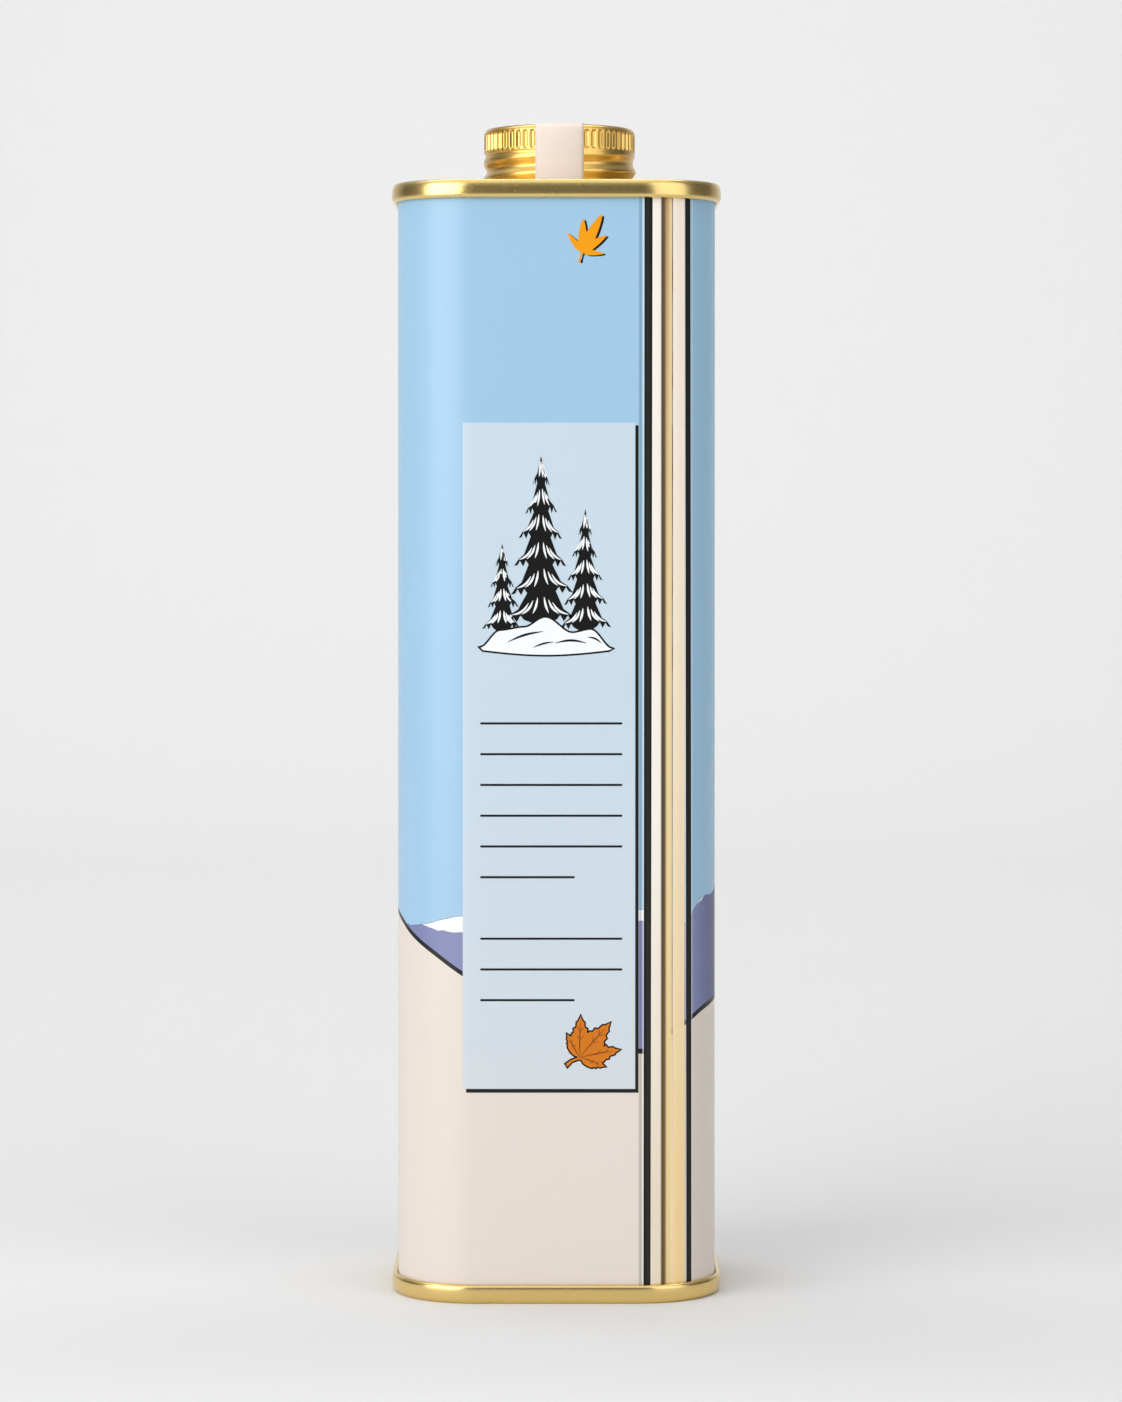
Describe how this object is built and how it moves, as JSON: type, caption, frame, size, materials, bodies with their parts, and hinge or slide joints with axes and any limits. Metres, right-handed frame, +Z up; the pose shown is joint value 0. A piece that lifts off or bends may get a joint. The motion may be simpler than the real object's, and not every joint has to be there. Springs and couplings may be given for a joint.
{
  "type": "maple syrup tin",
  "caption": "Tall slim metal syrup tin with round corners, seamed rims at both ends, a screw cap on the lid and a paper seal over the cap.",
  "frame": {"origin": "middle of the base, on the surface that the tin stands on", "axes": "+Z up the tin to the cap; -Y is the wide face with the label panel; +X is to the right of someone looking at that face, and the side seam is on the corner between -Y and +X"},
  "size_m": [0.0604, 0.0522, 0.2147],
  "materials": {
    "printed_tinplate": "printed and varnished tinplate, blue sky over a cream snowfield",
    "gold_lacquer": "glossy gold lacquer over tinplate",
    "cap_gold": "satin gold lacquer over rolled aluminium",
    "seal_paper": "uncoated cream paper"
  },
  "bodies": {
    "root": {"tin_body": "printed_tinplate", "bottom_end": "gold_lacquer", "top_end": "gold_lacquer", "screw_cap": "cap_gold", "seal_strip": "seal_paper"}
  },
  "joints": []
}
